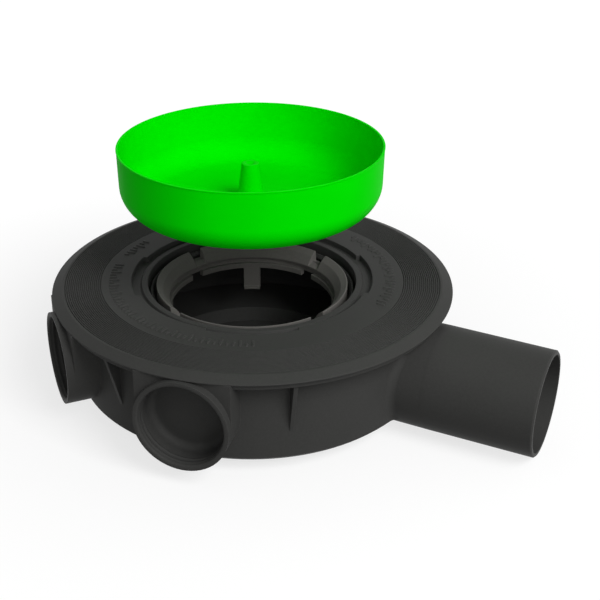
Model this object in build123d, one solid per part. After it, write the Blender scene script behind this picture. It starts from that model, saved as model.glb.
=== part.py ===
from build123d import *
import math
import os

# Floor drain for a tiled shower: a flat drum with a wide bonding flange, one outlet spigot,
# two closed side inlets, a funnel ring with its seal in the throat, and a lifted protection cup.
# Millimetres, +Z up. The origin is on the drum's axis at the top of the flange, and the outlet
# points along +X. Azimuths are counter-clockwise from the outlet, seen from above.

# Neck under the opening, which holds the funnel ring and its seal
neck_radius = 52.4
neck_wall = 2.6
neck_depth = 13.0
neck_rim_depth = 1.6
neck_rim_width = 3.0
neck_rim_slope = 0.8
ledge_thickness = 2.2
ledge_width = 6.6

# Stepped opening in the flange, with a channel round the neck's rim
channel_width = 2.3
opening_radius = neck_radius + neck_rim_width + neck_rim_slope + channel_width
shelf_depth = 3.0
shelf_thickness = 2.8
shelf_wall = 2.6

# Flange plate
flange_radius = 100.0
flange_flat_radius = 94.9
flange_bevel_drop = 2.2
flange_edge_height = 0.6
plate_thickness = flange_bevel_drop + flange_edge_height
groove_count = 19
groove_depth = 0.3
groove_width = 0.6
groove_margin = 0.9

# Bayonet: four pockets in the opening, four notches in the funnel ring
bayonet_count = 4
key_azimuth = -22.0
pocket_azimuth = key_azimuth + 50.0
pocket_step = 2.0
pocket_radius = opening_radius + pocket_step
pocket_angle = 42.0

# Marks on the flat inner ring: plain raised bars in three arcs
mark_height = 0.35
mark_length = 5.5
mark_width = 1.4
mark_clearance = 5.75
mark_margin = 2.85
mark_radius = pocket_radius + mark_clearance + mark_length / 2
inner_ring_radius = mark_radius + mark_length / 2 + mark_margin
mark_pitch_angle = 4.8
mark_arc_azimuths = [33.0, -112.0, 180.0]
mark_arc_counts = [15, 22, 4]

# Drum
drum_radius = 88.7
drum_wall = 2.5
drum_depth = 50.3
drum_floor = 2.8
drum_corner = 2.5
collar_radius = 98.0
collar_thickness = 3.0
sump_radius = 56.0

# Gussets under the collar
gusset_count = 6
gusset_azimuth = -50.8
gusset_pitch_angle = 54.6
gusset_thickness = 2.0
gusset_reach = 8.0
gusset_foot_depth = 34.5

# Outlet spigot for a 50 mm pipe
outlet_radius = 25.0
outlet_wall = 2.0
outlet_axis_depth = 32.0
outlet_end = 151.5
outlet_chamfer = 0.6
outlet_root_radius = 4.0
outlet_shoulder = 0.4
outlet_shoulder_end = 100.5
outlet_start = sump_radius - 2 * drum_corner
drum_bottom = outlet_axis_depth + outlet_radius + outlet_shoulder

# Side inlets: sockets for a 40 mm pipe, each closed by a thin membrane
inlet_azimuths = [-80.2, -130.4]
inlet_bore_radius = 20.2
inlet_wall = 2.3
inlet_axis_depth = 25.5
inlet_end = 101.7
inlet_depth = 14.0
inlet_lip = 0.8
inlet_tear_radius = 18.6
inlet_tear_width = 0.9
inlet_tear_depth = 0.7

# Funnel ring
funnel_clearance = 3.4
funnel_top_depth = 2.0
funnel_lip_width = 3.5
funnel_wall = 2.0
funnel_throat_step = 3.5
funnel_throat_radius = neck_radius - funnel_clearance - funnel_lip_width - funnel_throat_step
funnel_throat_depth = 10.0
funnel_throat_length = 4.2
funnel_lip_drop = 2.4
notch_width = 8.5
notch_height = 4.5
tab_arc_angle = 80.0
tab_arc_height = 2.2
tab_arc_proud = 0.9
tab_arc_inset = 0.3
tab_arc_overlap = 0.7
tab_width = 9.0
tab_foot_depth = 28.9
tab_foot_height = 1.3
tab_foot_proud = 1.2

# Seal between the funnel ring and the neck
seal_clearance = 0.1
seal_height = 7.0
seal_core = 1.0

# Protection cup, shown lifted off the opening
cup_overlap = 5.4
cup_radius = opening_radius + cup_overlap
cup_height = 31.2
cup_wall = 1.6
cup_corner = 13.2
cup_corner_steps = 8
cup_draft = 0.6
cup_bead = 0.5
cup_bead_height = 1.6
cup_lift = 39.1
stub_base_radius = 6.8
stub_top_radius = 4.2
stub_height = 19.3
stub_dish = 1.6

# How far a cut runs past the face that it opens, and how near an edge lies to the face it is on
cut_margin = 1.0
edge_tolerance = 0.05


def turned(points):
    """Solid of revolution about +Z from a closed outline of (radius, height) points."""
    outline = [(radius, 0.0, height) for radius, height in points]
    return revolve(make_face(Polyline(*outline, close=True)), Axis.Z)


def disc(radius, low, high):
    """Upright cylinder between two heights."""
    return Pos(0, 0, (low + high) / 2) * Cylinder(radius, high - low)


def radial_cylinder(radius, start, end, axis_height, azimuth):
    """Cylinder lying along a radius of the drum, from start to end."""
    body = Pos((start + end) / 2, 0, axis_height) * Rot(0, 90, 0) * Cylinder(radius, end - start)
    return Rot(0, 0, azimuth) * body


def block(x_range, y_range, z_range, azimuth=0.0):
    """Box between pairs of limits, turned about +Z."""
    spans = (x_range, y_range, z_range)
    centre = [(low + high) / 2 for low, high in spans]
    size = [high - low for low, high in spans]
    return Rot(0, 0, azimuth) * Pos(*centre) * Box(*size)


def sector(inner, outer, low, high, angle, azimuth):
    """Part of a ring that spans an angle, centred on an azimuth."""
    half = math.radians(angle / 2)
    reach = 2 * outer
    corners = [(0, 0), (reach * math.cos(half), -reach * math.sin(half)),
               (reach * math.cos(half), reach * math.sin(half))]
    wedge = extrude(Plane.XY.offset(low) * make_face(Polyline(*corners, close=True)), high - low)
    ring = disc(outer, low, high) - disc(inner, low - cut_margin, high + cut_margin)
    return Rot(0, 0, azimuth) * (ring & wedge)


def around(count, first):
    """Azimuths spread evenly over a full turn."""
    return [first + 360.0 * step / count for step in range(count)]


def groove_points():
    """Top outline of the grooved zone, from the inner ring outwards."""
    start = inner_ring_radius + groove_margin
    pitch = (flange_flat_radius - groove_margin - start) / groove_count
    points = []
    for step in range(groove_count):
        middle = start + (step + 0.5) * pitch
        points += [(middle - groove_width / 2, 0.0), (middle, -groove_depth), (middle + groove_width / 2, 0.0)]
    return points


def flange_plate():
    """Flange, stepped opening and neck, moulded in one."""
    shelf_bottom = -shelf_depth - shelf_thickness
    shelf_outer = pocket_radius + shelf_wall
    neck_outer = neck_radius + neck_wall
    rim_outer = neck_radius + neck_rim_width
    neck_bottom = -neck_depth - ledge_thickness
    points = [(opening_radius, 0.0)] + groove_points()
    points += [(flange_flat_radius, 0.0), (flange_radius, -flange_bevel_drop), (flange_radius, -plate_thickness)]
    points += [(shelf_outer, -plate_thickness), (shelf_outer, shelf_bottom), (neck_outer, shelf_bottom)]
    points += [(neck_outer, neck_bottom), (neck_radius - ledge_width, neck_bottom)]
    points += [(neck_radius - ledge_width, -neck_depth), (neck_radius, -neck_depth)]
    points += [(neck_radius, -neck_rim_depth), (rim_outer, -neck_rim_depth)]
    points += [(rim_outer + neck_rim_slope, -shelf_depth), (opening_radius, -shelf_depth)]
    plate = turned(points)
    for azimuth in around(bayonet_count, pocket_azimuth):
        plate -= sector(opening_radius - cut_margin, pocket_radius, -shelf_depth, cut_margin, pocket_angle,
                        azimuth)
    bar_x = (mark_radius - mark_length / 2, mark_radius + mark_length / 2)
    bar_y = (-mark_width / 2, mark_width / 2)
    for middle, count in zip(mark_arc_azimuths, mark_arc_counts):
        for step in range(count):
            azimuth = middle + (step - (count - 1) / 2) * mark_pitch_angle
            plate += block(bar_x, bar_y, (-mark_height, mark_height), azimuth)
    return plate


def drum_shell():
    """Outer form of the drum, with its collar and the lower sump."""
    return turned([(0, -plate_thickness), (collar_radius, -plate_thickness),
                   (collar_radius, -plate_thickness - collar_thickness),
                   (drum_radius, -plate_thickness - collar_thickness),
                   (drum_radius, -drum_depth + drum_corner), (drum_radius - drum_corner, -drum_depth),
                   (sump_radius, -drum_depth), (sump_radius - drum_corner, -drum_bottom), (0, -drum_bottom)])


def drum_hollow():
    """Space inside the drum and its sump."""
    bottom = -drum_bottom + drum_floor
    inner = drum_radius - drum_wall
    floor = -drum_depth + drum_floor
    sump = sump_radius - drum_wall
    return turned([(0, cut_margin), (inner, cut_margin), (inner, floor + drum_corner),
                   (inner - drum_corner, floor),
                   (sump, floor), (sump - drum_corner, bottom), (0, bottom)])


def outlet_form():
    """Spigot with a chamfered end and a low stop shoulder, which runs on under the floor to the sump."""
    thick = outlet_radius + outlet_shoulder
    line = [(outlet_start, 0), (outlet_end, 0), (outlet_end, outlet_radius - outlet_chamfer),
            (outlet_end - outlet_chamfer, outlet_radius), (outlet_shoulder_end, outlet_radius),
            (outlet_shoulder_end - outlet_shoulder, thick), (outlet_start, thick)]
    outline = make_face(Polyline(*[(x, 0.0, r) for x, r in line], close=True))
    return Pos(0, 0, -outlet_axis_depth) * revolve(outline, Axis.X)


def outlet_root():
    """Rounded root where the spigot leaves the drum's wall, above the drum's lower corner."""
    thick = outlet_radius + outlet_shoulder
    end = drum_radius + 2 * outlet_root_radius
    room = 2 * outlet_radius
    share_along_edge = 0.3
    joined = disc(drum_radius, -outlet_axis_depth - room, -outlet_axis_depth + room)
    joined += radial_cylinder(thick, outlet_start, end, -outlet_axis_depth, 0)

    def lies_on_both(edge):
        """True for an edge where the spigot meets the drum's wall."""
        point = edge @ share_along_edge
        on_wall = abs(math.hypot(point.X, point.Y) - drum_radius) < edge_tolerance
        return on_wall and abs(math.hypot(point.Y, point.Z + outlet_axis_depth) - thick) < edge_tolerance

    joined = fillet(joined.edges().filter_by(lies_on_both), outlet_root_radius)
    half_width = thick + 2 * outlet_root_radius
    return joined & block((outlet_start, end), (-half_width, half_width),
                          (-drum_depth + drum_corner, -plate_thickness))


def inlet_form(azimuth):
    """Socket of one side inlet with the square web that carries it up to the collar."""
    outer = inlet_bore_radius + inlet_wall
    start = drum_radius - 2 * drum_wall - outer / 3
    pipe = radial_cylinder(outer, start, inlet_end, -inlet_axis_depth, azimuth)
    web = block((start, collar_radius), (-outer, outer), (-inlet_axis_depth, -plate_thickness), azimuth)
    return pipe + web


def inlet_bore(azimuth):
    """Bore of one side inlet, with a rounded mouth and the tear groove of its membrane."""
    face = inlet_end - inlet_depth
    bore = radial_cylinder(inlet_bore_radius, face, inlet_end + cut_margin, -inlet_axis_depth, azimuth)
    mouth = Pos(inlet_end - inlet_lip / 2, 0, -inlet_axis_depth) * Rot(0, 90, 0)
    mouth = mouth * Cone(inlet_bore_radius, inlet_bore_radius + inlet_lip, inlet_lip)
    ring_start = face - inlet_tear_depth
    ring_outer = radial_cylinder(inlet_tear_radius + inlet_tear_width, ring_start, face + cut_margin,
                                 -inlet_axis_depth, azimuth)
    ring_inner = radial_cylinder(inlet_tear_radius, ring_start - cut_margin, face + 2 * cut_margin,
                                 -inlet_axis_depth, azimuth)
    return bore + Rot(0, 0, azimuth) * mouth + (ring_outer - ring_inner)


def gusset(azimuth):
    """Triangular rib between the collar and the drum's wall."""
    top = -plate_thickness - collar_thickness / 2
    inside = drum_radius - drum_wall / 2
    corners = [(inside, top), (drum_radius + gusset_reach, top),
               (drum_radius + gusset_reach, -plate_thickness - collar_thickness),
               (drum_radius, -gusset_foot_depth), (inside, -gusset_foot_depth)]
    outline = make_face(Polyline(*[(x, 0.0, z) for x, z in corners], close=True))
    return Rot(0, 0, azimuth) * extrude(outline, gusset_thickness / 2, both=True)


def drain_drum():
    """Drum, sump, outlet, inlets and gussets, moulded in one."""
    drum = drum_shell() + outlet_root() + outlet_form()
    for azimuth in inlet_azimuths:
        drum += inlet_form(azimuth)
    for step in range(gusset_count):
        drum += gusset(gusset_azimuth - step * gusset_pitch_angle)
    drum -= drum_hollow()
    for azimuth in inlet_azimuths:
        drum -= inlet_bore(azimuth)
    outlet_bore = outlet_radius - outlet_wall
    inside = outlet_start - drum_corner - drum_wall
    drum -= radial_cylinder(outlet_bore, inside, outlet_end + cut_margin, -outlet_axis_depth, 0)
    return drum


def funnel_ring():
    """Funnel ring: lip, skirt, funnel, throat, and four T-shaped tabs below it."""
    outer = neck_radius - funnel_clearance
    top = -funnel_top_depth
    lip_inner = outer - funnel_lip_width
    throat = funnel_throat_radius
    throat_top = -funnel_throat_depth
    throat_low = throat_top - funnel_throat_length
    ring = turned([(lip_inner, top), (outer, top), (outer, -neck_depth), (outer - funnel_wall, -neck_depth),
                   (outer - funnel_wall, top - funnel_lip_drop),
                   (lip_inner + funnel_wall / 2, top - funnel_lip_drop),
                   (throat + funnel_wall, throat_top - funnel_wall / 2), (throat + funnel_wall, throat_low),
                   (throat, throat_low), (throat, throat_top), (lip_inner, top - funnel_wall / 2)])
    for azimuth in around(bayonet_count, key_azimuth):
        ring -= block((throat + funnel_wall / 2, outer - funnel_wall / 2), (-notch_width / 2, notch_width / 2),
                      (top - notch_height, top + cut_margin), azimuth)
    arc_low = throat_low - tab_arc_height
    inner = throat - tab_arc_proud
    for azimuth in around(bayonet_count, pocket_azimuth):
        ring += sector(inner, throat + funnel_wall - tab_arc_inset, arc_low, throat_low + tab_arc_overlap,
                       tab_arc_angle, azimuth)
        tab = block((inner, throat + funnel_wall - 2 * tab_arc_inset), (-tab_width / 2, tab_width / 2),
                    (-tab_foot_depth, throat_low), azimuth)
        foot = block((inner - tab_foot_proud, throat), (-tab_width / 2, tab_width / 2),
                     (-tab_foot_depth, -tab_foot_depth + tab_foot_height), azimuth)
        ring += tab + foot
    return ring


def seal_ring():
    """Rubber seal with two lips, in the gap between the skirt and the neck."""
    inner = neck_radius - funnel_clearance + seal_clearance
    outer = neck_radius - seal_clearance
    low = -neck_depth
    high = low + seal_height
    middle = (inner + outer) / 2
    return turned([(middle - seal_core / 2, low), (middle + seal_core / 2, low), (outer, low + seal_height / 4),
                   (middle + seal_core / 2, low + seal_height / 2), (outer, low + 3 * seal_height / 4),
                   (middle + seal_core / 2, high), (middle - seal_core / 2, high),
                   (inner, low + 3 * seal_height / 4), (middle - seal_core / 2, low + seal_height / 2),
                   (inner, low + seal_height / 4)])


def corner_points(radius, corner, low):
    """Quarter round from the flat underside up to the wall, as (radius, height) points."""
    points = []
    for step in range(cup_corner_steps + 1):
        turn = math.radians(90.0 * step / cup_corner_steps)
        points.append((radius - corner + corner * math.sin(turn), low + corner * (1 - math.cos(turn))))
    return points


def protection_cup():
    """Thin round cup with a rounded base, a rim bead and a hollow tapered stub to lift it by."""
    low = cup_lift
    rim = low + cup_height
    wall_radius = cup_radius - cup_draft
    hollow_base = stub_base_radius - cup_wall
    hollow_top = stub_top_radius - cup_wall
    stub_top = low + cup_wall + stub_height
    outline = [(hollow_base, low)] + corner_points(wall_radius, cup_corner, low)
    outline += [(cup_radius, rim - cup_bead_height), (cup_radius + cup_bead, rim - cup_bead_height / 2),
                (cup_radius, rim), (cup_radius - cup_wall, rim)]
    inside = corner_points(wall_radius - cup_wall, cup_corner - cup_wall, low + cup_wall)
    outline += inside[::-1]
    outline += [(stub_base_radius, low + cup_wall), (stub_top_radius, stub_top),
                (hollow_top, stub_top), (0, stub_top - stub_dish),
                (0, stub_top - stub_dish - cup_wall), (hollow_top, stub_top - stub_dish - cup_wall)]
    return turned(outline)


os.makedirs("parts", exist_ok=True)
pieces = {
    "drain_drum": drain_drum(),
    "flange_plate": flange_plate(),
    "funnel_ring": funnel_ring(),
    "seal_ring": seal_ring(),
    "protection_cup": protection_cup(),
}
for name, piece in pieces.items():
    export_step(piece, "parts/" + name + ".step")
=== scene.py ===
"""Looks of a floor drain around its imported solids.

The drum keeps its solid and gets a moulded-plastic finish, with thin skins on its outlet and in its two
closed sockets. The flange plate, the funnel ring, the seal and the cup are surfaces worked out here.
Lengths are metres, +Z is up, the origin lies on the drum's axis at the top of the flange, and the outlet
points along +X. Azimuths are counter-clockwise from the outlet, seen from above.
"""

import math

import bmesh
import bpy
import numpy as np
from bpy.props import FloatProperty, FloatVectorProperty, IntProperty, PointerProperty
from mathutils import Matrix, Vector


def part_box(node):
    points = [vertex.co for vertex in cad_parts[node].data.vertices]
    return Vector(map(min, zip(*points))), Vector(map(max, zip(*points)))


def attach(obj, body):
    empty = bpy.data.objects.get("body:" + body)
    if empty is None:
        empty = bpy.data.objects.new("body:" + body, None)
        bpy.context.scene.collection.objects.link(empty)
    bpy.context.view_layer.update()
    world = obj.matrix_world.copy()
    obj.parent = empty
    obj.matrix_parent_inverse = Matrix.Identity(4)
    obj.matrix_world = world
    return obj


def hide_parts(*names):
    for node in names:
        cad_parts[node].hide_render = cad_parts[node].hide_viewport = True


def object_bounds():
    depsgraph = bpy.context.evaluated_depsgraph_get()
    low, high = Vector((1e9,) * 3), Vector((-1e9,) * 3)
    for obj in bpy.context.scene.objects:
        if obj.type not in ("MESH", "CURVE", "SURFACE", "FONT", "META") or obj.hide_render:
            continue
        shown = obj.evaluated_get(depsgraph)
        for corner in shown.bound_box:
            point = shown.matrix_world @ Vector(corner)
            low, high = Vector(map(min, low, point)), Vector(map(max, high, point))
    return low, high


bl_info = {
    "name": "Floor drain looks",
    "version": (1, 0, 0),
    "blender": (4, 5, 0),
    "location": "3D View > Sidebar > Drain",
    "description": "Builds the visible surfaces, finishes, light and camera of a floor drain",
    "category": "Object",
}

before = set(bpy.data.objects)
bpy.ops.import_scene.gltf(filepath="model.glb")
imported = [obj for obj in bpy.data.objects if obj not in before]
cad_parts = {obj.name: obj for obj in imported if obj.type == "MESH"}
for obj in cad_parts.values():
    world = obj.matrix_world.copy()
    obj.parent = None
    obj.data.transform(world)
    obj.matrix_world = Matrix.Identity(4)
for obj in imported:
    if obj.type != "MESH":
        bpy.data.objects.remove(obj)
cad_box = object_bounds()

MM = 0.001
BODY = "root"
FLANGE_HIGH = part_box("flange_plate")[1]
DRUM_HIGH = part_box("drain_drum")[1]
CUP_LOW, CUP_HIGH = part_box("protection_cup")
QUARTER = math.pi / 2

# Mesh: what counts as one point, the angle from which an edge is sharp, and how far flat faces lead
WELD_DISTANCE = 1e-7
SHARP_ANGLE = math.radians(48.0)
FLAT_LEAD = 90
# Rounding a corner cuts back at most this share of its shorter side
CUT_LIMIT = 0.45
# Smaller sizes than this are taken as none
TINY = 1e-6
# Number of points round each turned piece, across each rib of the seal, and from end to end of a tab
FLANGE_STEPS, RING_STEPS, CUP_STEPS = 400, 240, 288
OUTLET_STEPS, INLET_STEPS, SEAL_RIB_STEPS = 192, 144, 4
TAB_STEPS = 12
# Steps in the rounding of a corner: of the flange and the seal, of the funnel ring, and of the cup
FINE_CORNER, RING_CORNER, CUP_CORNER = 3, 4, 12
# Smooth step at the sides of the pockets and the notches: its width, how many widths the added points
# reach to each side of its middle, and the number of those points
STEP_WIDTH = 0.5 * MM
STEP_HALF = 0.6
STEP_POINTS = 9
# A point of an outline belongs to a wall when its radius is as near to the wall's as this
POCKET_WALL_REACH = 0.6 * MM
SKIRT_REACH = 0.3 * MM
# Share of a groove's width that its flat bottom has
GROOVE_FLOOR = 0.8
# Name and azimuth in degrees of each closed socket
INLETS = (("inlet_skin_front", -80.2), ("inlet_skin_left", -130.4))
# Distances of the beads behind a socket's mouth, and the width of a bead
BEAD_PLACES = np.array([2.6, 5.2]) * MM
BEAD_WIDTH = 0.55 * MM
# Middle azimuth in degrees and number of bars of each arc of raised bars, and the angle between bars
MARK_ARCS = ((33.0, 29), (-112.0, 43), (180.0, 7))
MARK_PITCH = math.radians(2.4)
# A bar's length is MARK_SHARE + MARK_SWING * sin(MARK_TURN * its number) of the full one
MARK_SHARE, MARK_SWING, MARK_TURN = 0.72, 0.28, 2.4
# Levels of a bar: the share of its width that it keeps, and the share of its height
MARK_LEVELS = np.array([[1.0, -0.6], [1.0, 0.55], [0.93, 0.9], [0.80, 1.0], [0.0, 1.0]])
# Points round a bar, and the power that squares its ends
MARK_STEPS = 32
MARK_SQUARENESS = 0.35
# Points along a socket's membrane, steps in its corner and its lip, and points along its wall
MEMBRANE_STEPS, LIP_STEPS, SOCKET_STEPS = 12, 6, 34

# Floor: half its width, its rows of points, its gap under the drain, and the share of its colour that
# lights the drain
FLOOR_REACH = 9.0
FLOOR_ROWS = 3
FLOOR_GAP = 0.02 * MM
FLOOR_BOUNCE = 0.36
# Background: its glow, how light the floor is that takes the shadow, and the share of that floor, which
# fades from the drain outwards by FADE_START - FADE_RATE * distance, held between 0 and 1
WHITE = (1.0, 1.0, 1.0)
GLOW = 1.05
SHADOW_FLOOR = 1.2
SHADOW_SHARE = 0.3
FADE_START, FADE_RATE = 1.6, 4.5
# Strengths of the soft light from all round, and of the white that is seen behind the drain
ROOM_LIGHT = 0.29
ROOM_WHITE = 1.0
# Name, place, size and power of each lamp, and the point that they face
LAMPS = (("key_lamp", (0.94, -0.42, 0.96), 0.65, 15.0), ("fill_lamp", (0.80, -1.02, 0.42), 0.8, 3.3),
         ("back_lamp", (-0.80, 0.95, 0.45), 0.5, 0.2))
LAMP_TARGET = Vector((0.02, 0.0, 0.0))
# Camera: its place, its right and up directions, its lens and sensor in millimetres, and its shift
CAMERA_PLACE = Vector((0.22545, -0.42036, 0.23815))
CAMERA_RIGHT = Vector((0.879172, 0.476263, -0.015087))
CAMERA_UP = Vector((-0.190347, 0.380043, 0.905166))
LENS, SENSOR = 63.3, 36.0
SHIFT_X, SHIFT_Y = 0.0988, -0.0852
CLIP_START, CLIP_END = 0.01, 50.0


def length(name, description, millimetres):
    """A length property whose default is given in millimetres."""
    return FloatProperty(name=name, description=description, default=millimetres * MM, min=0.0,
                         precision=5, unit="LENGTH")


def angle(name, description, degrees):
    """An angle property whose default is given in degrees."""
    return FloatProperty(name=name, description=description, default=math.radians(degrees),
                         unit="ROTATION")


def number(name, description, default):
    """A property that counts things."""
    return IntProperty(name=name, description=description, default=default, min=1)


def paint(name, description, colour):
    """A colour property in linear RGB."""
    return FloatVectorProperty(name=name, description=description, default=colour, size=3,
                               min=0.0, max=1.0, subtype="COLOR")


class DrainSizes(bpy.types.PropertyGroup):
    """Sizes of the surfaces that the looks add."""

    flange_radius: FloatProperty(name="Flange radius", description="Outer radius of the bonding flange",
                                 default=FLANGE_HIGH.x, min=0.0, precision=5, unit="LENGTH")
    flange_flat: length("Flat radius", "Radius at which the flange's flat top ends", 94.9)
    bevel_drop: length("Bevel drop", "How far the flange's edge falls below its top", 2.2)
    plate_thickness: length("Plate thickness", "Thickness of the flange plate", 2.8)
    ring_radius: length("Inner ring radius", "Radius at which the grooves begin", 74.6)
    groove_margin: length("Groove margin", "Plain strip on both sides of the grooves", 0.9)
    groove_depth: length("Groove depth", "Depth of one groove", 0.55)
    groove_width: length("Groove width", "Width of one groove at the top", 0.48)
    groove_count: number("Grooves", "Number of concentric grooves", 19)
    opening_radius: length("Opening radius", "Radius of the stepped opening", 58.5)
    pocket_radius: length("Pocket radius", "Radius of the wider sectors of the opening", 60.5)
    pocket_angle: angle("Pocket angle", "Width of one wider sector", 42.0)
    pocket_azimuth: angle("Pocket azimuth", "Direction of the first wider sector", 28.0)
    shelf_depth: length("Shelf depth", "Depth of the shelf below the flange", 3.0)
    shelf_thickness: length("Shelf thickness", "Thickness of the shelf", 2.8)
    shelf_outer: length("Shelf outer radius", "Outer radius of the shelf's wall", 63.1)
    neck_radius: length("Neck radius", "Inner radius of the neck", 52.4)
    rim_depth: length("Neck rim depth", "Depth of the neck's raised rim below the flange", 1.6)
    rim_width: length("Neck rim width", "Width of the neck's raised rim", 3.0)
    rim_slope: length("Neck rim slope", "Width of the slope outside the neck's rim", 0.8)
    neck_wall: length("Neck wall", "Thickness of the neck's wall", 2.6)
    neck_depth: length("Neck depth", "Depth of the ledge in the neck", 13.0)
    ledge_thickness: length("Ledge thickness", "Thickness of the ledge under the seal", 2.2)
    ledge_width: length("Ledge width", "Width of the ledge under the seal", 6.6)
    mark_radius: length("Mark radius", "Radius of the arc of raised bars", 69.0)
    mark_length: length("Mark length", "Length of one raised bar", 5.5)
    mark_width: length("Mark width", "Width of one raised bar", 1.1)
    mark_height: length("Mark height", "Height of one raised bar", 0.45)
    ring_outer: length("Funnel ring radius", "Outer radius of the funnel ring", 48.2)
    ring_top: length("Funnel ring depth", "Depth of the funnel ring's top", 3.3)
    ring_land: length("Funnel ring land", "Width of the flat top of the funnel ring", 0.45)
    ring_lip: length("Funnel lip radius", "Radius at the foot of the sloping lip", 44.9)
    ring_lip_deep: length("Funnel lip depth", "Depth of the foot of the sloping lip", 5.6)
    ring_wall: length("Funnel ring wall", "Thickness of the funnel ring", 1.8)
    throat_radius: length("Throat radius", "Inner radius of the throat", 42.0)
    throat_top: length("Throat depth", "Depth at which the throat begins", 10.0)
    throat_low: length("Throat foot", "Depth at which the throat ends", 14.2)
    throat_edge: length("Throat edge", "Height of the throat's upright edge", 0.9)
    throat_recess: length("Throat recess", "How far the throat's foot stands back under its edge", 1.2)
    notch_width: length("Notch width", "Width of a notch in the funnel ring", 7.0)
    notch_low: length("Notch depth", "Depth of a notch's floor", 8.6)
    notch_azimuth: angle("Notch azimuth", "Direction of the first notch", -22.0)
    tab_width: length("Tab width", "Width of a tab below the throat", 9.0)
    tab_low: length("Tab foot", "Depth of a tab's foot", 28.9)
    arc_angle: angle("Tab arc angle", "Half the width of the arc at a tab's head", 40.0)
    arc_proud: length("Tab arc stand-out", "How far a tab stands in front of the throat", 0.9)
    arc_wall: length("Tab arc depth", "How far a tab reaches behind the throat's face", 1.6)
    arc_height: length("Tab arc height", "Height of a tab's arc below the throat", 2.2)
    arc_overlap: length("Tab arc overlap", "How far a tab's arc runs up behind the throat", 0.6)
    foot_height: length("Tab foot height", "Height of a tab's foot", 1.3)
    foot_proud: length("Tab foot stand-out", "How far a tab's foot stands in front of its stem", 1.2)
    seal_height: length("Seal height", "Height of the seal", 7.0)
    seal_inner: length("Seal inner radius", "Inner radius of the seal's lips", 49.1)
    seal_outer: length("Seal outer radius", "Outer radius of the seal's lips", 52.3)
    seal_core: length("Seal core", "Half the thickness of the seal's core", 0.5)
    seal_round: length("Seal rounding", "Rounding of the seal's corners", 0.25)
    seal_ribs: number("Seal ribs", "Number of upright ribs round the seal", 180)
    seal_rib: length("Seal rib depth", "Half the depth of the furrows between the ribs", 0.2)
    outlet_radius: length("Outlet radius", "Outer radius of the outlet spigot", 25.0)
    outlet_depth: length("Outlet depth", "Depth of the outlet's axis", 32.0)
    outlet_shoulder: length("Outlet shoulder", "Height of the stop shoulder on the outlet", 0.4)
    outlet_start: length("Sleeve start", "Where the outlet's skin begins, inside the drum's shoulder", 97.5)
    outlet_ramp: length("Sleeve ramp", "Length of the ramp that brings the skin to the surface", 2.0)
    outlet_sink: length("Sleeve sink", "How deep the ramp starts below the shoulder", 0.3)
    outlet_cover: length("Sleeve cover", "How far the skin stands off the shoulder", 0.004)
    outlet_tip_cover: length("Sleeve end cover", "How far the skin stands off the spigot at its end", 0.03)
    outlet_inside: length("Sleeve depth", "How deep the skin's hidden side lies in the spigot's wall", 1.0)
    outlet_chamfer: length("Outlet chamfer", "Chamfer of the outlet's end", 0.6)
    inlet_bore: length("Inlet bore", "Radius of the side inlets' bore", 20.2)
    inlet_end: length("Inlet end", "Distance of an inlet's mouth from the drum's axis", 101.7)
    inlet_deep: length("Inlet socket depth", "Depth of an inlet's socket", 14.0)
    inlet_depth: length("Inlet depth", "Depth of the inlets' axes", 25.5)
    liner_skin: length("Liner skin", "How far the socket's skin stands off its bore", 0.2)
    liner_fillet: length("Membrane fillet", "Radius of the corner between the socket and its membrane", 3.2)
    liner_dome: length("Membrane dome", "How far the membrane bulges outwards", 0.8)
    liner_lip: length("Mouth rounding", "Radius of the rounding at the socket's mouth", 1.1)
    liner_bead: length("Socket bead", "Height of the beads inside the socket", 0.32)
    liner_gap: length("Mouth gap", "How far the skin stays behind the socket's end", 0.05)
    liner_back: length("Skin thickness", "Thickness of the skin behind the mouth", 0.2)
    cup_wall: length("Cup wall", "Thickness of the cup's wall", 1.6)
    cup_corner: length("Cup corner", "Radius of the cup's rounded base edge", 13.2)
    cup_draft: length("Cup draft", "How much narrower the cup is at its base", 0.6)
    cup_bead: length("Rim bead", "How far the cup's rim bead stands out", 0.5)
    cup_bead_height: length("Rim bead height", "Height of the cup's rim bead", 0.8)
    cup_rim: length("Rim thickness", "Thickness of the cup's wall at its rim", 1.1)
    stub_base: length("Stub base radius", "Radius of the lifting stub at the floor", 6.8)
    stub_top: length("Stub top radius", "Radius of the lifting stub at its top", 4.2)
    stub_height: length("Stub height", "Height of the lifting stub", 19.3)
    stub_dish: length("Stub dish", "Depth of the dish in the stub's top", 1.6)


class DrainColours(bpy.types.PropertyGroup):
    """Colours of the finishes."""

    body: paint("Body plastic", "Black plastic of the drum and the flange", (0.040, 0.040, 0.0385))
    ring: paint("Ring plastic", "Dark grey plastic of the funnel ring", (0.118, 0.113, 0.106))
    seal: paint("Seal rubber", "Rubber of the seal", (0.024, 0.024, 0.023))
    cup: paint("Cup plastic", "Green plastic of the protection cup", (0.0, 0.73, 0.0))
    floor: paint("Floor", "Pale floor under the drain", (0.8, 0.8, 0.8))


# Shapes worked out with numpy


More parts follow.
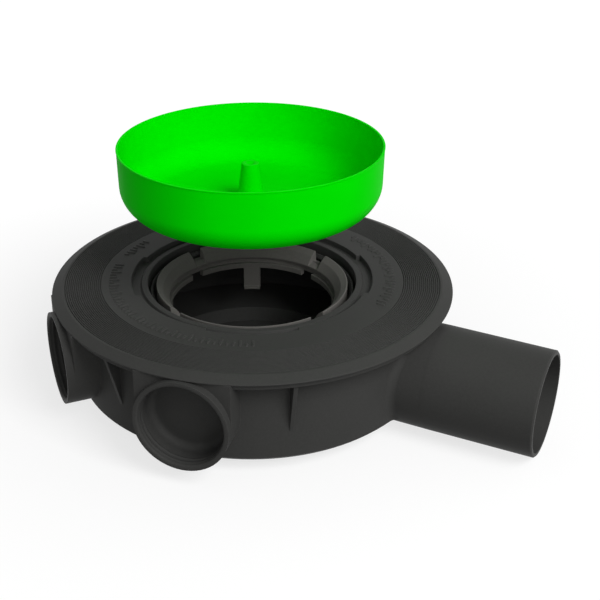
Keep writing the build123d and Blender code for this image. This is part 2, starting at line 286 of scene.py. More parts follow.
def rounded(points, radii, steps):
    """Closed outline whose corners are arcs.

    Each corner is cut back by radius / tan(half its angle) along both sides. The arc between the two cut
    points is swept about the point on the corner's bisector at radius / sin(half its angle), by blending
    its first and last spoke with weights sin((1 - u) * turn) and sin(u * turn). Doubled points are dropped.
    """
    corner = np.array(points, float)
    radius = np.broadcast_to(np.array(radii, float), len(corner))
    before, after = np.roll(corner, 1, 0) - corner, np.roll(corner, -1, 0) - corner
    reach_before, reach_after = np.linalg.norm(before, axis=1), np.linalg.norm(after, axis=1)
    before, after = before / reach_before[:, None], after / reach_after[:, None]
    half = np.arccos(np.clip((before * after).sum(1), -1.0, 1.0)) / 2
    cut = np.minimum(radius / np.tan(half), CUT_LIMIT * np.minimum(reach_before, reach_after))
    radius = cut * np.tan(half)
    bisector = before + after
    size = np.linalg.norm(bisector, axis=1)
    straight = size < TINY
    bisector = bisector / np.where(straight, 1.0, size)[:, None]
    centre = corner + bisector * (radius / np.sin(half))[:, None]
    first, last = corner + before * cut[:, None] - centre, corner + after * cut[:, None] - centre
    turn = (math.pi - 2 * half)[:, None]
    share = np.linspace(0.0, 1.0, steps + 1)[None, :]
    safe = np.where(np.abs(np.sin(turn)) < TINY, 1.0, np.sin(turn))
    weight_first = (np.sin((1 - share) * turn) / safe)[..., None]
    weight_last = (np.sin(share * turn) / safe)[..., None]
    curve = centre[:, None] + weight_first * first[:, None] + weight_last * last[:, None]
    sharp = (radius < TINY * MM) | straight
    curve[sharp] = corner[sharp][:, None]
    curve = curve.reshape(-1, 2)
    keep = np.linalg.norm(curve - np.roll(curve, 1, 0), axis=1) > WELD_DISTANCE
    return curve[keep]


def turned_points(outline, azimuths, shift=None):
    """Grid of points of a turned shape: x = radius * cos(azimuth), y = radius * sin(azimuth), z = height.

    The optional shift is added to the radius and may differ at every point of the grid.
    """
    radius = outline[:, 0][:, None] + (0.0 if shift is None else shift)
    radius = np.broadcast_to(radius, (len(outline), len(azimuths)))
    height = np.broadcast_to(outline[:, 1][:, None], radius.shape)
    return np.stack([radius * np.cos(azimuths), radius * np.sin(azimuths), height], -1)


def grid_faces(rows, columns, closed_rows, closed_columns, start=0):
    """Quads of a grid whose rows and columns may close on themselves, as vertex numbers."""
    row, column = np.meshgrid(np.arange(rows if closed_rows else rows - 1),
                              np.arange(columns if closed_columns else columns - 1), indexing="ij")
    next_row, next_column = (row + 1) % rows, (column + 1) % columns
    quads = np.stack([row * columns + column, row * columns + next_column,
                      next_row * columns + next_column, next_row * columns + column], -1)
    return quads.reshape(-1, 4) + start


def counter_clockwise(outline):
    """The outline in the direction that makes its turned faces point outwards."""
    radius, height = outline[:, 0], outline[:, 1]
    area = (radius * np.roll(height, -1) - np.roll(radius, -1) * height).sum()
    return outline if area > 0 else outline[::-1]


def make_piece(name, vertices, quads, material, slot, *nodes):
    """Object from vertex and quad arrays, welded, smooth, riding on the body, in place of its nodes."""
    mesh = bpy.data.meshes.new(name)
    vertices, quads = np.asarray(vertices, np.float32).reshape(-1, 3), np.asarray(quads, np.int32)
    mesh.vertices.add(len(vertices))
    mesh.vertices.foreach_set("co", vertices.ravel())
    mesh.loops.add(quads.size)
    mesh.loops.foreach_set("vertex_index", quads.ravel())
    mesh.polygons.add(len(quads))
    mesh.polygons.foreach_set("loop_start", np.arange(0, quads.size, 4, dtype=np.int32))
    mesh.update(calc_edges=True)
    welded = bmesh.new()
    welded.from_mesh(mesh)
    bmesh.ops.remove_doubles(welded, verts=welded.verts, dist=WELD_DISTANCE)
    welded.to_mesh(mesh)
    welded.free()
    mesh.polygons.foreach_set("use_smooth", np.ones(len(mesh.polygons), bool))
    mesh.set_sharp_from_angle(angle=SHARP_ANGLE)
    piece = bpy.data.objects.new(name, mesh)
    bpy.context.scene.collection.objects.link(piece)
    weighted = piece.modifiers.new("Flat faces lead", "WEIGHTED_NORMAL")
    weighted.mode = "FACE_AREA"
    weighted.weight = FLAT_LEAD
    weighted.keep_sharp = True
    mesh.materials.append(material)
    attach(piece, BODY)
    if nodes:
        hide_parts(*nodes)
    return piece


def full_turn(count):
    """Evenly spread azimuths."""
    return np.linspace(0.0, math.tau, count, endpoint=False)


def sector_share(azimuths, first, half_angle, edge):
    """1 inside four equal sectors and 0 outside, with a smooth step at each side.

    Half the sector's angle, less the distance to the nearest sector's middle, is mapped by
    3 t^2 - 2 t^3 over the step's width, edge, which is an angle too.
    """
    off = np.abs((azimuths - first + QUARTER / 2) % QUARTER - QUARTER / 2)
    t = np.clip((half_angle - off) / edge + 0.5, 0.0, 1.0)
    return t * t * (3 - 2 * t)


def sector_azimuths(count, first, half_angle, edge):
    """Evenly spread azimuths, with more of them across each side of the four sectors."""
    sides = first + QUARTER * np.arange(4)[:, None] + half_angle * np.array([-1, 1])
    near = sides.ravel()[:, None] + edge * np.linspace(-STEP_HALF, STEP_HALF, STEP_POINTS)
    return np.unique(np.round(np.concatenate([full_turn(count), near.ravel() % math.tau]), 7))


def groove_outline(sizes):
    """Points of the grooved top: each groove is a slot with steep walls and a flat bottom."""
    start = sizes.ring_radius + sizes.groove_margin
    pitch = (sizes.flange_flat - sizes.groove_margin - start) / sizes.groove_count
    middle = start + (np.arange(sizes.groove_count) + 0.5) * pitch
    radius = middle[:, None] + np.array([-1.0, -GROOVE_FLOOR, GROOVE_FLOOR, 1.0]) * sizes.groove_width / 2
    height = np.broadcast_to(sizes.groove_depth * np.array([0.0, -1.0, -1.0, 0.0]), radius.shape)
    return [tuple(point) for point in np.stack([radius, height], -1).reshape(-1, 2)]


def curved_blocks(limits, spans):
    """Blocks bent round the axis: each has limits (inner, outer, low, high) and a span of azimuths.

    A block is its rectangle of (radius, height) swept over the span, closed by a quad at both ends.
    """
    vertices, faces, start = [], [], 0
    for (inner, outer, low, high), (first, last) in zip(limits, spans):
        outline = np.array([(inner, low), (outer, low), (outer, high), (inner, high)])
        azimuths = np.linspace(first, last, TAB_STEPS)
        vertices.append(turned_points(outline, azimuths).reshape(-1, 3))
        faces.append(grid_faces(len(outline), TAB_STEPS, True, False, start))
        row = start + TAB_STEPS * np.arange(len(outline))
        faces.append(np.stack([row[::-1], row + TAB_STEPS - 1]))
        start += len(outline) * TAB_STEPS
    return np.concatenate(vertices), np.concatenate(faces)


def squared(values):
    """Sign of each value times a power of its size, which makes a rounded rectangle of a circle."""
    return np.sign(values) * np.abs(values) ** MARK_SQUARENESS


def bar_arrays(sizes, azimuths):
    """Rounded bars on the inner ring, all at once.

    A bar is a rounded rectangle, x = a * squared(cos u) and y = b * squared(sin u). It is drawn in from
    level to level, so that its upper edge is soft, and is then turned to each azimuth. The bars differ in
    length, and all end on one outer arc.
    """
    share = (MARK_SHARE + MARK_SWING * np.sin(MARK_TURN * np.arange(len(azimuths))))[:, None, None]
    around = full_turn(MARK_STEPS)
    kept, height = MARK_LEVELS[:, :1], MARK_LEVELS[:, 1:]
    inset = (1 - kept) * sizes.mark_width / 2
    along = (sizes.mark_length / 2 - inset) * squared(np.cos(around))
    across = (sizes.mark_width / 2 - inset) * squared(np.sin(around))
    along[-1], across[-1] = 0.0, 0.0
    high = np.broadcast_to(height * sizes.mark_height, along.shape)
    x = sizes.mark_radius + (1 - share) * sizes.mark_length / 2 + along * share
    y = np.broadcast_to(across, x.shape)
    c, s = np.cos(azimuths)[:, None, None], np.sin(azimuths)[:, None, None]
    points = np.stack([x * c - y * s, x * s + y * c, np.broadcast_to(high, x.shape)], -1)
    one = grid_faces(*along.shape, False, True)
    count = along.size
    quads = (one[None] + (np.arange(len(azimuths)) * count)[:, None, None]).reshape(-1, 4)
    return points.reshape(-1, 3), quads


def lying(points, azimuth, depth):
    """Points turned about +Z, with their axis laid along a radius of the drum at a depth.

    (x, y, z) becomes (z, x, y), which is a rotation, and is then turned by the azimuth and let down.
    """
    along, across, up = points[..., 2], points[..., 0], points[..., 1]
    c, s = math.cos(azimuth), math.sin(azimuth)
    return np.stack([along * c - across * s, along * s + across * c, up - depth], -1)


def arc(centre, radius, start, end):
    """Points on an arc between two angles in degrees, as (radius, height)."""
    turn = np.radians(np.linspace(start, end, LIP_STEPS + 1))
    return np.stack([centre[0] + radius * np.cos(turn), centre[1] + radius * np.sin(turn)], -1)


def liner_outline(sizes):
    """Skin of a closed socket, as (radius, distance along its axis), from the membrane's centre outwards.

    The membrane is face + dome * (1 - (r / R)^2). A quarter round joins it to the wall, whose radius is
    less by bead * exp(-((s - s_k) / w)^2) at each bead, and another quarter round opens the mouth. The back
    lies inside the drum's own wall.
    """
    face = sizes.inlet_end - sizes.inlet_deep + sizes.liner_skin
    bore = sizes.inlet_bore - sizes.liner_skin
    flat = bore - sizes.liner_fillet
    radius = np.linspace(0.0, flat, MEMBRANE_STEPS)
    membrane = np.stack([radius, face + sizes.liner_dome * (1 - (radius / flat) ** 2)], -1)
    corner = arc((flat, face + sizes.liner_fillet), sizes.liner_fillet, -90.0, 0.0)
    mouth = sizes.inlet_end - sizes.liner_lip - sizes.liner_gap
    along = np.linspace(face + sizes.liner_fillet, mouth, SOCKET_STEPS)[1:-1]
    rise = np.exp(-((along[:, None] - (sizes.inlet_end - BEAD_PLACES)) / BEAD_WIDTH) ** 2).sum(1)
    wall = np.stack([bore - sizes.liner_bead * rise, along], -1)
    lip = arc((bore + sizes.liner_lip, mouth), sizes.liner_lip, 180.0, 90.0)
    back = bore + sizes.liner_lip + sizes.liner_back
    behind = face - 3 * sizes.liner_skin
    return np.concatenate([membrane, corner[1:], wall, lip, [(back, mouth), (back, behind), (0.0, behind)]])


# Finishes


class Wire:
    """One socket of a material; arithmetic on it adds Math nodes."""

    def __init__(self, finish, socket):
        self.finish, self.socket = finish, socket

    def work(self, operation, *values, clamp=False):
        """The result of a Math node."""
        settings = {"operation": operation, "use_clamp": clamp}
        return self.finish.node("ShaderNodeMath", settings, dict(enumerate(values)))

    def __add__(self, other):
        return self.work("ADD", self, other)

    def __sub__(self, other):
        return self.work("SUBTRACT", self, other)

    def __rsub__(self, other):
        return self.work("SUBTRACT", other, self)

    def __mul__(self, other):
        return self.work("MULTIPLY", self, other)

    __radd__, __rmul__ = __add__, __mul__

    def clamped(self):
        """The value held between 0 and 1."""
        return self.work("ADD", self, 0.0, clamp=True)


class Finish:
    """Builds the nodes of one material or of the world."""

    def __init__(self, owner):
        owner.use_nodes = True
        self.owner, self.tree = owner, owner.node_tree
        self.shader = self.tree.nodes.get("Principled BSDF")

    def node(self, kind, settings=None, inputs=None, output=0):
        """Adds a node: its settings first, then the values or links of its sockets.

        The output is given by its name or its number.
        """
        made = self.tree.nodes.new(kind)
        for key, value in (settings or {}).items():
            setattr(made, key, value)
        for key, value in (inputs or {}).items():
            self.feed(made.inputs[key], value)
        return Wire(self, made.outputs[output])

    def feed(self, socket, value):
        """Links a wire to a socket, or sets the socket's own value."""
        if isinstance(value, Wire):
            self.tree.links.new(value.socket, socket)
        elif hasattr(value, "__len__") and socket.type == "RGBA":
            socket.default_value = (*value, 1.0)
        else:
            socket.default_value = value

    def blend(self, share, first, second):
        """Colour between two colours; a Mix node has its colours at sockets 6 and 7 and at output 2."""
        return self.node("ShaderNodeMix", {"data_type": "RGBA"}, {0: share, 6: first, 7: second}, 2)

    def noise(self, place, scale, detail, rough):
        """Value of a noise pattern, whose scale is its number of waves to the metre."""
        return self.node("ShaderNodeTexNoise", None, {"Vector": place, "Scale": scale, "Detail": detail,
                                                      "Roughness": rough})

    def shade(self, **values):
        """Sets or links sockets of the shader by their names, with _ for a space."""
        for key, value in values.items():
            self.feed(self.shader.inputs[key.replace("_", " ")], value)
        return self.owner


def new_finish(name):
    """An empty finish of that name."""
    return Finish(bpy.data.materials.new(name))


def scaled(colour, factor):
    """The colour made lighter or darker."""
    return tuple(min(1.0, channel * factor) for channel in colour)


def moulded_plastic(name, colour):
    """Moulded plastic: fine grain, faint flow clouds, softened edges with a painted highlight along them."""
    roughness, cloud_rough, speck_rough, specular = 0.52, 0.12, 0.08, 0.05
    cloud_dark, cloud_light, speck_light, edge_highlight_light = 0.84, 1.16, 1.5, 2.0
    speck_share, edge_highlight_share, edge_highlight_gain = 0.3, 0.28, 4.0
    edge_radius, grain_depth, grain_strength = 0.5 * MM, 0.06 * MM, 0.2
    finish = new_finish(name)
    place = finish.node("ShaderNodeTexCoord", output="Object")
    cloud = finish.noise(place, scale=14.0, detail=4.0, rough=0.6)
    speck = finish.noise(place, scale=900.0, detail=2.0, rough=0.6)
    fine = finish.noise(place, scale=3200.0, detail=2.0, rough=0.5)
    soft = finish.node("ShaderNodeBevel", {"samples": 6}, {"Radius": edge_radius})
    plain = finish.node("ShaderNodeNewGeometry", output="Normal")
    agree = finish.node("ShaderNodeVectorMath", {"operation": "DOT_PRODUCT"}, {0: soft, 1: plain}, "Value")
    # The rounded normal leaves the plain one only at an edge, which marks where the painted highlight goes
    edge = ((1.0 - agree) * edge_highlight_gain).clamped()
    flow = (cloud * 1.2 - 0.1).clamped()
    tint = finish.blend(flow, scaled(colour, cloud_dark), scaled(colour, cloud_light))
    tint = finish.blend((speck * 1.6 - 0.3).clamped() * speck_share, tint, scaled(colour, speck_light))
    # Painted highlight: every edge is made lighter in colour, standing in for light caught by the rounded
    # edge
    tint = finish.blend(edge * edge_highlight_share, tint, scaled(colour, edge_highlight_light))
    bump = finish.node("ShaderNodeBump", None, {"Strength": grain_strength, "Distance": grain_depth,
                                                "Height": fine * 0.7 + speck * 0.3, "Normal": soft})
    rough = roughness + (cloud - 0.5) * cloud_rough + (speck - 0.5) * speck_rough
    return finish.shade(Base_Color=tint, Roughness=rough, Normal=bump, Specular_IOR_Level=specular)


def seal_rubber(name, colour):
    """Dull rubber with a fine bloom."""
    roughness, bloom_rough, bloom_light, specular = 0.7, 0.2, 1.9, 0.25
    bloom_depth, bloom_strength = 0.04 * MM, 0.3
    finish = new_finish(name)
    place = finish.node("ShaderNodeTexCoord", output="Object")
    bloom = finish.noise(place, scale=260.0, detail=4.0, rough=0.7)
    tint = finish.blend((bloom * 1.5 - 0.4).clamped(), colour, scaled(colour, bloom_light))
    bump = finish.node("ShaderNodeBump", None, {"Strength": bloom_strength, "Distance": bloom_depth,
                                                "Height": bloom})
    return finish.shade(Base_Color=tint, Roughness=roughness + (bloom - 0.5) * bloom_rough, Normal=bump,
                        Specular_IOR_Level=specular)


def cup_plastic(name, colour):
    """Bright smooth plastic: faint flow clouds, long-wave sink marks and a soft sheen in its own hue."""
    roughness, cloud_rough, fine_rough, specular = 0.55, 0.1, 0.06, 0.03
    cloud_dark, cloud_light, sheen_light = 0.93, 1.06, 1.2
    wave_depth, wave_strength = 0.1 * MM, 0.08
    finish = new_finish(name)
    place = finish.node("ShaderNodeTexCoord", output="Object")
    cloud = finish.noise(place, scale=26.0, detail=3.0, rough=0.55)
    fine = finish.noise(place, scale=1500.0, detail=2.0, rough=0.5)
    wave = finish.noise(place, scale=45.0, detail=2.0, rough=0.5)
    flow = (cloud * 1.4 - 0.2).clamped()
    tint = finish.blend(flow, scaled(colour, cloud_dark), scaled(colour, cloud_light))
    bump = finish.node("ShaderNodeBump", None, {"Strength": wave_strength, "Distance": wave_depth,
                                                "Height": wave * 0.8 + fine * 0.2})
    rough = roughness + (cloud - 0.5) * cloud_rough + (fine - 0.5) * fine_rough
    return finish.shade(Base_Color=tint, Roughness=rough, Normal=bump, Specular_IOR_Level=specular,
                        Specular_Tint=scaled(colour, sheen_light))


def named_material(name, make, colour):
    """The finish of that name, made on its first use. Its name differs from the frame's own materials."""
    return bpy.data.materials.get(name) or make(name, tuple(colour))


def background_share(finish):
    """1 for camera, glossy and transmission rays, which show the background, and 0 for all others."""
    camera = finish.node("ShaderNodeLightPath")
    outputs = camera.socket.node.outputs
    glossy, through = (Wire(finish, outputs[f"Is {kind} Ray"]) for kind in ("Glossy", "Transmission"))
    return (camera + glossy + through).clamped()


def body_finish(colours):
    """Finish of the drum and the flange."""
    return named_material("moulded_body", moulded_plastic, colours.body)


# Operators


class DRAIN_OT_drum(bpy.types.Operator):
    """Gives the drum its moulded-plastic finish"""

    bl_idname = "drain.drum"
    bl_label = "Finish drum"

    def execute(self, context):
        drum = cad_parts["drain_drum"]
        drum.data.materials.clear()
        drum.data.materials.append(body_finish(context.scene.drain_colours))
        return {"FINISHED"}


class DRAIN_OT_outlet(bpy.types.Operator):
    """Builds the outlet's smooth skin"""

    bl_idname = "drain.outlet"
    bl_label = "Build outlet skin"

    def execute(self, context):
        sizes, colours = context.scene.drain_sizes, context.scene.drain_colours
        inside = sizes.outlet_radius - sizes.outlet_inside
        root = sizes.outlet_radius + sizes.outlet_shoulder
        tip = sizes.outlet_radius + sizes.outlet_tip_cover
        end = DRUM_HIGH.x - sizes.outlet_chamfer
        start = sizes.outlet_start
        over, ramp = root + sizes.outlet_cover, sizes.outlet_ramp
        outline = counter_clockwise(np.array([(inside, start), (root - sizes.outlet_sink, start),
                                              (over, start + ramp), (over, start + 2 * ramp),
                                              (tip, end), (inside, end)]))
        azimuths = full_turn(OUTLET_STEPS)
        points = lying(turned_points(outline, azimuths), 0.0, sizes.outlet_depth)
        quads = grid_faces(len(outline), len(azimuths), True, True)
        make_piece("outlet_skin", points, quads, body_finish(colours), "body_plastic")
        return {"FINISHED"}


class DRAIN_OT_inlets(bpy.types.Operator):
    """Builds the skins of the two closed sockets, with their beads, rounded mouths and membranes"""

    bl_idname = "drain.inlets"
    bl_label = "Build socket skins"

    def execute(self, context):
        sizes, colours = context.scene.drain_sizes, context.scene.drain_colours
        outline = counter_clockwise(liner_outline(sizes))
        azimuths = full_turn(INLET_STEPS)
        turned = turned_points(outline, azimuths)
        quads = grid_faces(len(outline), len(azimuths), False, True)
        for name, degrees in INLETS:
            points = lying(turned, math.radians(degrees), sizes.inlet_depth)
            make_piece(name, points, quads, body_finish(colours), "body_plastic")
        return {"FINISHED"}


class DRAIN_OT_flange(bpy.types.Operator):
    """Builds the flange plate with its grooves, stepped opening, pockets, neck and raised bars"""

    bl_idname = "drain.flange"
    bl_label = "Build flange plate"

    def execute(self, context):
        sizes, colours = context.scene.drain_sizes, context.scene.drain_colours
        shelf_low = -sizes.shelf_depth - sizes.shelf_thickness
        neck_outer = sizes.neck_radius + sizes.neck_wall
        rim_outer = sizes.neck_radius + sizes.rim_width
        neck_low = -sizes.neck_depth - sizes.ledge_thickness
        ledge = sizes.neck_radius - sizes.ledge_width
        grooves = groove_outline(sizes)
        corners = [(sizes.opening_radius, 0.0), *grooves, (sizes.flange_flat, 0.0),
                   (sizes.flange_radius, -sizes.bevel_drop), (sizes.flange_radius, -sizes.plate_thickness),
                   (sizes.shelf_outer, -sizes.plate_thickness), (sizes.shelf_outer, shelf_low),
                   (neck_outer, shelf_low), (neck_outer, neck_low), (ledge, neck_low),
                   (ledge, -sizes.neck_depth), (sizes.neck_radius, -sizes.neck_depth),
                   (sizes.neck_radius, -sizes.rim_depth), (rim_outer, -sizes.rim_depth),
                   (rim_outer + sizes.rim_slope, -sizes.shelf_depth),
                   (sizes.opening_radius, -sizes.shelf_depth)]
        # Rounding of each corner, in millimetres
        radii = np.array([0.35, *[0.0] * len(grooves), 0.6, 0.25, 0.15, 0.3, 0.5, 0.5, 0.3, 0.3, 0.3, 0.3,
                          0.45, 0.45, 0.6, 0.6]) * MM
        outline = counter_clockwise(rounded(corners, radii, FINE_CORNER))
        sector = sizes.pocket_azimuth, sizes.pocket_angle / 2, STEP_WIDTH / sizes.opening_radius
        azimuths = sector_azimuths(FLANGE_STEPS, *sector)
        # In a pocket only the opening's own wall stands further out
        wall = np.abs(outline[:, 0] - sizes.opening_radius) < POCKET_WALL_REACH
        step = sizes.pocket_radius - sizes.opening_radius
        shift = wall[:, None] * step * sector_share(azimuths, *sector)[None, :]
        points = turned_points(outline, azimuths, shift)
        quads = grid_faces(len(outline), len(azimuths), True, True)
        marks = np.concatenate([math.radians(middle) + (np.arange(count) - (count - 1) / 2) * MARK_PITCH
                                for middle, count in MARK_ARCS])
        bars, bar_quads = bar_arrays(sizes, marks)
        vertices = np.concatenate([points.reshape(-1, 3), bars])
        faces = np.concatenate([quads, bar_quads + points.size // 3])
        make_piece("flange_plate_top", vertices, faces, body_finish(colours), "body_plastic", "flange_plate")
        return {"FINISHED"}


class DRAIN_OT_funnel_ring(bpy.types.Operator):
    """Builds the funnel ring with its sloping lip, notches and T-shaped tabs"""

    bl_idname = "drain.funnel_ring"
    bl_label = "Build funnel ring"

    def execute(self, context):
        sizes, colours = context.scene.drain_sizes, context.scene.drain_colours
        wall, throat = sizes.ring_wall, sizes.throat_radius
        land = sizes.ring_outer - sizes.ring_land
        skirt = sizes.ring_outer - wall
        corners = [(sizes.ring_outer, -sizes.neck_depth), (sizes.ring_outer, -sizes.ring_top),
                   (land, -sizes.ring_top), (sizes.ring_lip, -sizes.ring_lip_deep),
                   (throat, -sizes.throat_top), (throat, -sizes.throat_top - sizes.throat_edge),
                   (throat + sizes.throat_recess, -sizes.throat_top - 2 * sizes.throat_edge),
                   (throat + sizes.throat_recess, -sizes.throat_low), (throat + wall, -sizes.throat_low),
                   (throat + wall, -sizes.throat_top - wall / 2), (skirt, -sizes.ring_lip_deep - wall / 2),
                   (skirt, -sizes.neck_depth)]
        # Rounding of each corner, in millimetres
        radii = np.array([0.2, 0.4, 0.2, 0.5, 0.6, 0.3, 0.3, 0.4, 0.4, 0.8, 0.4, 0.2]) * MM
        outline = counter_clockwise(rounded(corners, radii, RING_CORNER))
        sector = sizes.notch_azimuth, sizes.notch_width / 2 / sizes.ring_lip, STEP_WIDTH / sizes.ring_lip
        azimuths = sector_azimuths(RING_STEPS, *sector)
        points = turned_points(outline, azimuths)
        # In a notch all that is higher than its floor is let down to it, and the skirt's inner side by
        # half a wall more
        beneath = np.abs(outline[:, 0] - skirt) < SKIRT_REACH
        over = np.maximum(outline[:, 1] + sizes.notch_low + np.where(beneath, wall / 2, 0.0), 0.0)
        points[..., 2] -= over[:, None] * sector_share(azimuths, *sector)[None, :]
        quads = grid_faces(len(outline), len(azimuths), True, True)
        arc_half, tab_half = sizes.arc_angle, sizes.tab_width / 2 / throat
        inner, outer = throat - sizes.arc_proud, throat + sizes.arc_wall
        arc_low, foot = -sizes.throat_low - sizes.arc_height, -sizes.tab_low
        arc_high = -sizes.throat_low + sizes.arc_overlap
        limits, spans = [], []
        for middle in sizes.pocket_azimuth + QUARTER * np.arange(4):
            limits += [(inner, outer, arc_low, arc_high), (inner, outer, foot, arc_low),
                       (inner - sizes.foot_proud, throat, foot, foot + sizes.foot_height)]
            spans += [(middle - arc_half, middle + arc_half)] + 2 * [(middle - tab_half, middle + tab_half)]
        tabs, tab_faces = curved_blocks(limits, spans)
        vertices = np.concatenate([points.reshape(-1, 3), tabs])
        faces = np.concatenate([quads, tab_faces + points.size // 3])
        plastic = named_material("moulded_ring", moulded_plastic, colours.ring)
        make_piece("funnel_ring_shell", vertices, faces, plastic, "ring_plastic", "funnel_ring")
        return {"FINISHED"}


class DRAIN_OT_seal(bpy.types.Operator):
    """Builds the ribbed seal in the gap round the funnel ring"""

    bl_idname = "drain.seal"
    bl_label = "Build seal"

    def execute(self, context):
        sizes, colours = context.scene.drain_sizes, context.scene.drain_colours
        low, middle = -sizes.neck_depth, (sizes.seal_inner + sizes.seal_outer) / 2
        core, step = sizes.seal_core, sizes.seal_height / 4
        corners = [(middle - core, low), (middle + core, low), (sizes.seal_outer, low + step),
                   (middle + core, low + 2 * step), (sizes.seal_outer, low + 3 * step),
                   (middle + core, low + 4 * step), (middle - core, low + 4 * step),
                   (sizes.seal_inner, low + 3 * step), (middle - core, low + 2 * step),
                   (sizes.seal_inner, low + step)]
        outline = counter_clockwise(rounded(corners, sizes.seal_round, FINE_CORNER))
        azimuths = full_turn(SEAL_RIB_STEPS * sizes.seal_ribs)
        away = outline[:, 0] - middle
        rib = sizes.seal_rib * (np.cos(sizes.seal_ribs * azimuths) - 1.0)
        shift = np.sign(away)[:, None] * rib[None, :]
        points = turned_points(outline, azimuths, shift)
        quads = grid_faces(len(outline), len(azimuths), True, True)
        rubber = named_material("ribbed_rubber", seal_rubber, colours.seal)
        make_piece("seal_with_ribs", points, quads, rubber, "seal_rubber", "seal_ring")
        return {"FINISHED"}


class DRAIN_OT_cup(bpy.types.Operator):
    """Builds the green protection cup with its rim bead and lifting stub"""

    bl_idname = "drain.cup"
    bl_label = "Build cup"

    def execute(self, context):
        sizes, colours = context.scene.drain_sizes, context.scene.drain_colours
        low, rim = CUP_LOW.z, CUP_HIGH.z
        radius = CUP_HIGH.x - sizes.cup_bead
        wall, corner = sizes.cup_wall, sizes.cup_corner
        base = radius - sizes.cup_draft
        stub_top = low + wall + sizes.stub_height
        dish = stub_top - sizes.stub_dish
        bead_height = sizes.cup_bead_height
        flare = sizes.cup_bead / 3
        corners = [(0.0, dish - wall), (sizes.stub_top - wall, dish - wall), (sizes.stub_base - wall, low),
                   (base, low), (radius, rim - bead_height), (radius + flare, rim - bead_height / 2),
                   (radius + flare, rim), (radius + flare - sizes.cup_rim, rim), (base - wall, low + wall),
                   (sizes.stub_base, low + wall), (sizes.stub_top, stub_top),
                   (sizes.stub_top - wall, stub_top), (0.0, dish)]
        # Rounding of each corner, in millimetres
        radii = np.array([0.0, 0.5, 0.7, corner / MM, 0.6, 0.3, 0.35, 0.35, (corner - wall) / MM, 2.2, 0.5,
                          0.7, 0.0])
        outline = rounded(corners, radii * MM, CUP_CORNER)
        # The outline starts and ends on the axis
        start = int(np.argmin(np.hypot(outline[:, 0], outline[:, 1] - dish + wall)))
        outline = np.roll(outline, -start, 0)
        azimuths = full_turn(CUP_STEPS)
        points = turned_points(outline, azimuths)
        quads = grid_faces(len(outline), len(azimuths), False, True)
        plastic = named_material("green_cup", cup_plastic, colours.cup)
        make_piece("protection_cup_shell", points, quads, plastic, "cup_plastic", "protection_cup")
        return {"FINISHED"}


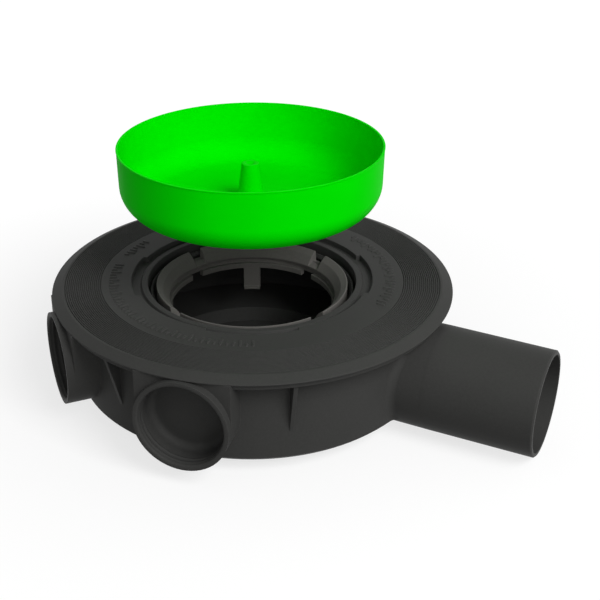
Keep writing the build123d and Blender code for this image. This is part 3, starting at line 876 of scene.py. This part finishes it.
class DRAIN_OT_stage(bpy.types.Operator):
    """Sets up the pale floor, the soft light and the camera"""

    bl_idname = "drain.stage"
    bl_label = "Build stage"

    def execute(self, context):
        scene = context.scene
        scene.view_settings.view_transform = "Standard"
        self.floor(scene)
        self.world(scene)
        self.lamps(scene)
        self.camera(scene)
        return {"FINISHED"}

    def floor(self, scene):
        """Large flat floor, near white where the camera sees it, with the drain's shadow kept."""
        line = np.linspace(-FLOOR_REACH, FLOOR_REACH, FLOOR_ROWS)
        x, y = np.meshgrid(line, line, indexing="ij")
        points = np.stack([x, y, np.full_like(x, cad_box[0].z - FLOOR_GAP)], -1).reshape(-1, 3)
        quads = grid_faces(FLOOR_ROWS, FLOOR_ROWS, False, False)[:, ::-1]
        mesh = bpy.data.meshes.new("floor")
        mesh.from_pydata(points.tolist(), [], quads.tolist())
        floor = bpy.data.objects.new("floor", mesh)
        scene.collection.objects.link(floor)
        finish = new_finish("pale_floor")
        colour = tuple(scene.drain_colours.floor)
        plain = finish.node("ShaderNodeBsdfDiffuse", None, {"Color": scaled(colour, FLOOR_BOUNCE)})
        shown = finish.node("ShaderNodeBsdfDiffuse", None, {"Color": scaled(colour, SHADOW_FLOOR)})
        glow = finish.node("ShaderNodeEmission", None, {"Color": WHITE, "Strength": GLOW})
        place = finish.node("ShaderNodeTexCoord", output="Object")
        away = finish.node("ShaderNodeVectorMath", {"operation": "LENGTH"}, {0: place}, "Value")
        near = (FADE_START - away * FADE_RATE).clamped()
        seen = finish.node("ShaderNodeMixShader", None, {0: near * SHADOW_SHARE, 1: glow, 2: shown})
        both = finish.node("ShaderNodeMixShader", None, {0: background_share(finish), 1: plain, 2: seen})
        output = finish.tree.nodes["Material Output"]
        finish.tree.nodes.remove(finish.shader)
        finish.feed(output.inputs["Surface"], both)
        mesh.materials.append(finish.owner)

    def world(self, scene):
        """Even soft light, shown as white behind the drain."""
        world = bpy.data.worlds.new("soft_room")
        scene.world = world
        finish = Finish(world)
        light = finish.tree.nodes["Background"]
        finish.feed(light.inputs["Color"], WHITE)
        finish.feed(light.inputs["Strength"], ROOM_LIGHT)
        white = finish.node("ShaderNodeBackground", None, {"Color": WHITE, "Strength": ROOM_WHITE})
        both = finish.node("ShaderNodeMixShader", None,
                           {0: background_share(finish), 1: Wire(finish, light.outputs[0]), 2: white})
        finish.feed(finish.tree.nodes["World Output"].inputs["Surface"], both)

    def lamps(self, scene):
        """Soft area lamps that face the drain."""
        for name, place, size, power in LAMPS:
            lamp = bpy.data.lights.new(name, "AREA")
            lamp.size, lamp.energy = size, power
            holder = bpy.data.objects.new(name, lamp)
            holder.location = place
            holder.rotation_euler = (LAMP_TARGET - Vector(place)).to_track_quat("-Z", "Y").to_euler()
            scene.collection.objects.link(holder)

    def camera(self, scene):
        """Camera at the photograph's angle, from its right, up and back directions."""
        lens = bpy.data.cameras.new("camera")
        lens.sensor_width, lens.lens = SENSOR, LENS
        lens.shift_x, lens.shift_y = SHIFT_X, SHIFT_Y
        lens.clip_start, lens.clip_end = CLIP_START, CLIP_END
        camera = bpy.data.objects.new("camera", lens)
        turn = Matrix((CAMERA_RIGHT, CAMERA_UP, CAMERA_RIGHT.cross(CAMERA_UP))).transposed()
        camera.matrix_world = Matrix.Translation(CAMERA_PLACE) @ turn.to_4x4()
        scene.collection.objects.link(camera)
        scene.camera = camera


class DRAIN_PT_panel(bpy.types.Panel):
    """Lists the drain's pieces and their sizes"""

    bl_idname = "DRAIN_PT_panel"
    bl_label = "Floor drain"
    bl_space_type = "VIEW_3D"
    bl_region_type = "UI"
    bl_category = "Drain"

    def draw(self, context):
        column = self.layout.column()
        for operator in OPERATORS:
            column.operator(operator.bl_idname)
        for group in (context.scene.drain_sizes, context.scene.drain_colours):
            for key in group.__annotations__:
                column.prop(group, key)


OPERATORS = (DRAIN_OT_drum, DRAIN_OT_outlet, DRAIN_OT_inlets, DRAIN_OT_flange, DRAIN_OT_funnel_ring,
             DRAIN_OT_seal, DRAIN_OT_cup, DRAIN_OT_stage)
CLASSES = (DrainSizes, DrainColours, *OPERATORS, DRAIN_PT_panel)


def register():
    for item in CLASSES:
        bpy.utils.register_class(item)
    bpy.types.Scene.drain_sizes = PointerProperty(type=DrainSizes)
    bpy.types.Scene.drain_colours = PointerProperty(type=DrainColours)


def unregister():
    del bpy.types.Scene.drain_colours
    del bpy.types.Scene.drain_sizes
    for item in reversed(CLASSES):
        bpy.utils.unregister_class(item)


def main():
    """Registers the classes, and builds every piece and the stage."""
    register()
    bpy.ops.drain.drum()
    bpy.ops.drain.outlet()
    bpy.ops.drain.inlets()
    bpy.ops.drain.flange()
    bpy.ops.drain.funnel_ring()
    bpy.ops.drain.seal()
    bpy.ops.drain.cup()
    bpy.ops.drain.stage()


if __name__ == "__main__":
    main()
